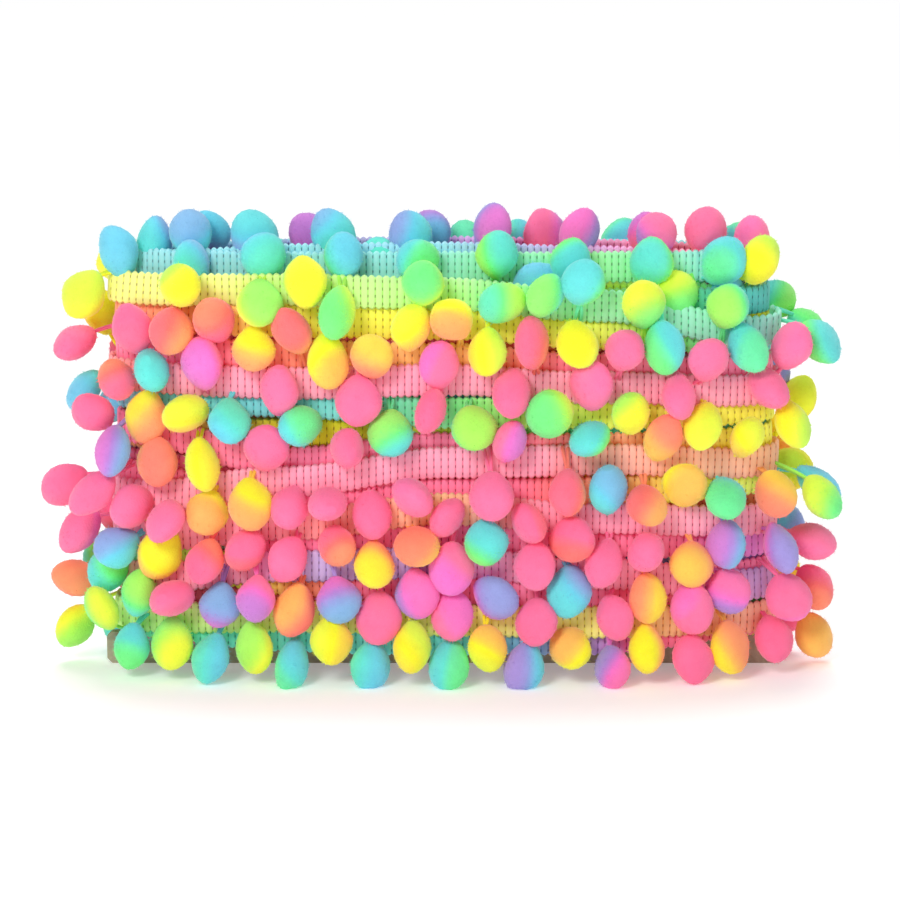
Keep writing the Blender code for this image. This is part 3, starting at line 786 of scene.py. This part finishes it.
def tape_knit(colours, knit):
    """Knitted tape: ribs across, with rows of small holes between them; painted shade darkens the
    grooves and the holes, and a painted glow stands for bounced light.
    """
    graph = Graph(knit.name)
    colour = dye_colour(graph, colours)
    place = graph.node("ShaderNodeUVMap", {"uv_map": "pattern"}, {}, "UV")
    parts = graph.tree.nodes.new("ShaderNodeSeparateXYZ")
    graph.feed(parts.inputs[0], place)
    rib, width = (Socket(graph, parts.outputs[k]) for k in (0, 1))
    between = (rib * (2 * math.pi)).cosine().at_least(0.0) ** 9.0
    rows = ((width * (2 * math.pi * HOLE_ROWS)).cosine() * -1.0).at_least(0.0) ** 0.7
    hole = between * rows
    spot = graph.node("ShaderNodeTexCoord", {}, {}, "Object")
    fibre = graph.node("ShaderNodeTexNoise", {}, {"Vector": spot, "Scale": 2200.0, "Detail": 2.0})
    # The lay's grey mix: the tape's paler tone with painted light, or painted shade on the inner lay
    pale_tone_and_painted_light = blend(graph, "MIX", knit.mixed, colour, (knit.grey, knit.grey, knit.grey, 1))
    # Painted shade in the grooves between the ribs: the colour is multiplied by itself there
    groove_painted_shade = blend(graph, "MULTIPLY", between * 0.6, pale_tone_and_painted_light, colour)
    # Painted shade in the holes
    dark = blend(graph, "MULTIPLY", hole * 0.8, groove_painted_shade, HOLE_PAINTED_SHADE)
    height = fibre * 0.25 - hole * 1.0 - between * 0.4
    bump = graph.node("ShaderNodeBump", {}, {"Strength": 0.7, "Distance": 0.3 * MM, "Height": height})
    # Painted glow: the knit's colour times itself glows as painted bounced light
    painted_glow_colour = blend(graph, "MULTIPLY", 1.0, dark, dark)
    graph.finish(Base_Color=dark, Roughness=0.9, Normal=bump, Emission_Color=painted_glow_colour)
    graph.finish(Emission_Strength=knit.glow, Sheen_Weight=0.2, Sheen_Roughness=0.6)
    return graph.finish(Specular_IOR_Level=0.15)


def greyboard(colours):
    """Pressed grey-brown board with flecks."""
    graph = Graph("card_greyboard")
    spot = graph.node("ShaderNodeTexCoord", {}, {}, "Object")
    fleck = graph.node("ShaderNodeTexNoise", {}, {"Vector": spot, "Scale": 900.0, "Detail": 4.0})
    cloud = graph.node("ShaderNodeTexNoise", {}, {"Vector": spot, "Scale": 60.0, "Detail": 3.0})
    board = np.array(colours.board)
    stops = ((0.25, board * 0.72), (0.5, board), (0.8, board * 1.3))
    mottle = fleck * 0.6 + cloud * 0.4
    colour = graph.node("ShaderNodeValToRGB", {"stops": stops}, {"Fac": mottle}, "Color")
    bump = graph.node("ShaderNodeBump", {}, {"Strength": 0.35, "Distance": 0.2 * MM, "Height": fleck})
    graph.finish(Base_Color=colour, Roughness=0.9, Normal=bump)
    return graph.finish(Specular_IOR_Level=0.2)


def studio_white(name, value):
    """A plain pale paper ground, lit a little by itself as a lit cyclorama is."""
    graph = Graph(name)
    spot = graph.node("ShaderNodeTexCoord", {}, {}, "Object")
    cloud = graph.node("ShaderNodeTexNoise", {}, {"Vector": spot, "Scale": 3.0})
    stops = ((0.0, (value * 0.995,) * 3), (1.0, (value,) * 3))
    colour = graph.node("ShaderNodeValToRGB", {"stops": stops}, {"Fac": cloud}, "Color")
    graph.finish(Base_Color=colour, Roughness=1.0, Emission_Color=colour)
    return graph.finish(Emission_Strength=0.26, Specular_IOR_Level=0.0)


def finishes(colours, turn):
    """A turn's tape, which is paler, partly as painted light, where it lies outermost and has more
    painted glow in its shade where it lies set back, and its pompoms' yarn.
    """
    knit = RAISED_PALE_AND_PAINTED_LIT_KNIT if turn.lift > 0 or turn.out < 0 else LAID_PAINTED_GLOW_KNIT
    tape = bpy.data.materials.get(knit.name) or tape_knit(colours, knit)
    return [tape, bpy.data.materials.get("pompom_yarn") or pompom_yarn(colours)]


def peep_row(peep):
    """An inner pompom as a row of the turn that is nearest to it."""
    along = np.linspace(*(COURSE.length * part for part in PEEP_SPAN), PEEP_STEPS)
    spots = COURSE.at(along, PEEP_OUT)[0]
    along = along[np.argmin(np.abs(spots[:, 0] - peep.x * MM) + PEEP_DEPTH * spots[:, 1])]
    heights = [tape_height(turn, along)[0] - peep.z * MM for turn in TURNS]
    number = int(np.argmin(np.abs(heights)))
    return number, along, heights[number], peep.dye


def inner_rows(rows):
    """The pompoms that the solids leave out: at the ends, at the back, and those charted."""
    more = [peep_row(peep) for peep in PEEPS]
    for number, turn in enumerate(TURNS):
        usual, odd = usual_hang(turn), number % 2 == 1
        for quarter in (1, 3):
            along = COURSE.length * quarter / 4 + END_STEP * (1 if odd else -1)
            more.append((number, along, usual * END_HANG, None))
        places = sorted(along for owner, along, hang in rows if owner == number)
        for here, after in zip(places, places[1:] + [places[0] + COURSE.length]):
            wide = after - here > POMPOM_PITCH * WIDE_GAP and not odd and number > 0
            if wide or after > COURSE.length:
                more.append((number, (here + after) / 2, usual * WIDE_HANG, None))
    return more


def all_pompoms():
    """Every pompom as (turn number, along, hang, dye, middle)."""
    rows = pompom_rows()
    wished, least = zip(*(wished_spot(*row) for row in rows))
    middles = ease(np.array(wished), np.array(least))[0]
    found = [(*row, None, middle) for row, middle in zip(rows, middles)]
    more = inner_rows(rows)
    wished, least = zip(*(wished_spot(*row[:3], PEEP_IN) for row in more))
    places, nearest = ease(np.array(wished), np.array(least), middles)
    moved = np.linalg.norm(places - np.array(wished), axis=1)
    for row, place, room, far in zip(more, places, nearest, moved):
        if room > PEEP_ROOM and far < PEEP_SHIFT:
            found.append((*row, place))
    return found


class TRIM_OT_outer_turns(bpy.types.Operator):
    """Knit the outer turns of tape and hang their pompoms on them."""

    bl_idname = "trim.outer_turns"
    bl_label = "Outer turns"

    def execute(self, context):
        sizes, colours = context.scene.trim_sizes, context.scene.trim_colours
        random = np.random.default_rng(sizes.seed)
        pompoms = all_pompoms()
        pattern = pompom_pattern()
        for number, turn in enumerate(TURNS):
            cloth = Cloth()
            sway = gentle_sway(random, *TURN_SWAY)
            lay_tape(cloth, sizes, partial(tape_height, turn), tape_out(turn), turn.dye,
                     FINE_SECTION, OUTER_STEPS, sway)
            for owner, along, hang, dye, middle in pompoms:
                if owner == number:
                    dye = dye_at(turn.dye, along) if dye is None else dye
                    self.hang_pompom(cloth, sizes, random, pattern, turn, along, hang, dye, middle)
            piece = cloth.piece(turn.name + "_dressed", finishes(colours, turn))
            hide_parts(turn.name)
            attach(piece, "root")
        return {"FINISHED"}

    def hang_pompom(self, cloth, sizes, random, pattern, turn, along, hang, dye, middle):
        """One pompom on its loop, which comes off the tape's nearer edge or is folded over the tape."""
        normal = COURSE.at(along, 0.0)[1][0]
        root = COURSE.at(along, tape_out(turn))[0][0]
        edge = -1 if hang > 0 else 1
        if abs(hang) < FOLD_HANG:
            edge = -edge
        root[2] = tape_height(turn, along)[0] + edge * TAPE_WIDTH * ROOT_EDGE
        middle = middle + random.uniform(-1, 1, size=3) * JITTER
        pole = root - middle
        pole = pole - normal * pole.dot(normal) * POLE_FLAT
        pole += random.normal(size=3) * POLE_JITTER + UPWARD * edge * POLE_LIFT
        pole = pole / np.linalg.norm(pole)
        mixed = MIXED_LOW < middle[2] < MIXED_HIGH
        dye = dye + random.normal(scale=DYE_SPREAD) + mixed * random.choice(DYE_SHIFTS, p=DYE_ODDS)
        add_pompom(cloth, sizes, random, pattern, middle, pole, normal, dye)
        add_threads(cloth, sizes, random, root, middle, pole, normal, dye)


class TRIM_OT_inner_turns(bpy.types.Operator):
    """Wind the inner turns that show between the outer ones and at both ends."""

    bl_idname = "trim.inner_turns"
    bl_label = "Inner turns"

    def execute(self, context):
        sizes, colours = context.scene.trim_sizes, context.scene.trim_colours
        random = np.random.default_rng(sizes.seed + 1)
        # The inner turns' knit is darkened with black as painted shade for the deeper layers
        knit = tape_knit(colours, INNER_PAINTED_SHADE_KNIT)
        cloth = Cloth()
        for shell in SHELLS:
            count = int((shell.high - shell.low) / shell.pitch) + 1
            for k in range(count):
                level = (shell.low + k * shell.pitch) * MM
                self.wind(cloth, sizes, random, level, shell.out * MM, shell.dye + shell.step * k)
        for nest in NESTS:
            for k in range(nest.count):
                out = (nest.out + nest.step * k) * MM
                dye = nest.dye + NEST_DYE_STEP * k
                self.wind(cloth, sizes, random, nest.height * MM, out, dye)
        piece = cloth.piece("inner_turns", [knit])
        middle = self.packing()
        for made in (piece, middle):
            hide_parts("wound_core")
            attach(made, "root")
        return {"FINISHED"}

    def wind(self, cloth, sizes, random, level, out, first):
        """One inner turn of tape, which rises and sinks twice on its way round."""
        slope, start = random.uniform(*WIND_SLOPES) * MM, random.uniform(*WIND_STARTS)

        def height(along):
            return level + slope * np.sin(along / COURSE.length * 4 * math.pi + start)

        lay_tape(cloth, sizes, height, out, first + np.array(WIND_DYE), PLAIN_SECTION,
                 INNER_STEPS, gentle_sway(random, *INNER_SWAY))

    def packing(self):
        """The close-wound middle, behind all the turns that show."""
        cloth = Cloth()
        steps, size = np.arange(PACKING_STEPS), len(PACKING)
        along = steps / PACKING_STEPS * COURSE.length
        rings = []
        for level in PACKING:
            ring = COURSE.at(along, level.out * MM)[0]
            ring[:, 2] = level.height
            rings.append(ring)
        points = np.stack(rings, axis=1).reshape(-1, 3)
        ribs = PACKING_RIBS * steps[:, None]
        across = np.array([level.height for level in PACKING])[None, :] / TAPE_WIDTH
        pattern = np.stack(np.broadcast_arrays(ribs, across), axis=2).reshape(-1, 2)
        turned = np.repeat(along, size) / COURSE.length * 2 * math.pi
        dye = PACKING_DYE + PACKING_DYE_WAVE * np.sin(3 * turned)
        cloth.add(points, ring_faces(PACKING_STEPS, size, True), dye, pattern, TAPE_FINISH,
                  size, PACKING_RIBS * PACKING_STEPS)
        # The close-wound middle takes the inner knit with its painted shade
        return cloth.piece("wound_middle", [bpy.data.materials[INNER_PAINTED_SHADE_KNIT.name]])


class TRIM_OT_card(bpy.types.Operator):
    """Give the card its greyboard finish."""

    bl_idname = "trim.card"
    bl_label = "Card"

    def execute(self, context):
        board = greyboard(context.scene.trim_colours)
        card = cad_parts["card"]
        for slot in card.material_slots:
            slot.material = board
        return {"FINISHED"}


# The stage, in metres and watts, and the camera, in degrees and millimetres of lens
FLOOR_WHITE = 0.93
WORLD_STRENGTH = 0.29
LAMP_AIM = (0, 0, 0.05)
Lamp = namedtuple("Lamp", "name place size power")
LAMPS = (
    Lamp("key_light", (-0.34, -0.72, 0.56), 0.34, 4.5),
    Lamp("fill_light", (0.75, -0.55, 0.35), 0.60, 0.9),
)
Overhead = namedtuple("Overhead", "lean softness power")
TOP_LIGHT = Overhead(22, 35, 1.75)
CAMERA_ELEVATION = 12.0
CAMERA_DISTANCE = 0.80
CAMERA_LENS = 139.2
CAMERA_AIM = (1.4 * MM, 0.0, 50.4 * MM)


class TRIM_OT_stage(bpy.types.Operator):
    """Set out the pale floor, the soft lights and the camera."""

    bl_idname = "trim.stage"
    bl_label = "Stage"

    def execute(self, context):
        bpy.ops.object.select_all(action="DESELECT")
        bpy.ops.mesh.primitive_plane_add(size=6.0, location=(0, 0, 0))
        floor = context.object
        floor.name = "studio_floor"
        floor.data.materials.append(studio_white("studio_floor_white", FLOOR_WHITE))
        world = bpy.data.worlds.new("studio_world")
        world.use_nodes = True
        background = world.node_tree.nodes["Background"]
        background.inputs["Color"].default_value = (1, 1, 1, 1)
        background.inputs["Strength"].default_value = WORLD_STRENGTH
        context.scene.world = world
        for lamp in LAMPS:
            self.lamp(lamp)
        self.overhead("top_light", TOP_LIGHT)
        self.camera(context)
        context.scene.view_settings.view_transform = "Standard"
        context.scene.view_settings.look = "None"
        return {"FINISHED"}

    def lamp(self, row):
        """A soft round lamp that points at the roll."""
        data = bpy.data.lights.new(row.name, "AREA")
        data.shape = "DISK"
        data.size = row.size
        data.energy = row.power
        lamp = bpy.data.objects.new(row.name, data)
        lamp.location = row.place
        aim = Vector(LAMP_AIM) - lamp.location
        lamp.rotation_euler = aim.to_track_quat("-Z", "Y").to_euler()
        bpy.context.scene.collection.objects.link(lamp)

    def overhead(self, name, row):
        """An even light from above and a little behind, as from a wide white ceiling."""
        data = bpy.data.lights.new(name, "SUN")
        data.angle = math.radians(row.softness)
        data.energy = row.power
        lamp = bpy.data.objects.new(name, data)
        lamp.rotation_euler = (-math.radians(row.lean), 0, 0)
        bpy.context.scene.collection.objects.link(lamp)

    def camera(self, context):
        """The camera at the photo's angle, with the roll as large as there."""
        elevation = math.radians(CAMERA_ELEVATION)
        back = Vector((0, -math.cos(elevation), math.sin(elevation)))
        data = bpy.data.cameras.new("photo_camera")
        data.sensor_width = 36.0
        data.lens = CAMERA_LENS
        camera = bpy.data.objects.new("photo_camera", data)
        camera.location = Vector(CAMERA_AIM) + back * CAMERA_DISTANCE
        camera.rotation_euler = (-back).to_track_quat("-Z", "Y").to_euler()
        context.scene.collection.objects.link(camera)
        context.scene.camera = camera


class TRIM_PT_panel(bpy.types.Panel):
    """The trim's steps, in the sidebar."""

    bl_idname = "TRIM_PT_panel"
    bl_label = "Pompom trim"
    bl_space_type = "VIEW_3D"
    bl_region_type = "UI"
    bl_category = "Pompom trim"

    def draw(self, context):
        for operator in OPERATORS:
            self.layout.operator(operator.bl_idname)


OPERATORS = (TRIM_OT_outer_turns, TRIM_OT_inner_turns, TRIM_OT_card, TRIM_OT_stage)
CLASSES = (TrimSizes, TrimColours, *OPERATORS, TRIM_PT_panel)


def register():
    for each in CLASSES:
        bpy.utils.register_class(each)
    bpy.types.Scene.trim_sizes = bpy.props.PointerProperty(type=TrimSizes)
    bpy.types.Scene.trim_colours = bpy.props.PointerProperty(type=TrimColours)


def unregister():
    del bpy.types.Scene.trim_colours
    del bpy.types.Scene.trim_sizes
    for each in reversed(CLASSES):
        bpy.utils.unregister_class(each)


def main():
    register()
    bpy.ops.trim.outer_turns()
    bpy.ops.trim.inner_turns()
    bpy.ops.trim.card()
    bpy.ops.trim.stage()


if __name__ == "__main__":
    main()
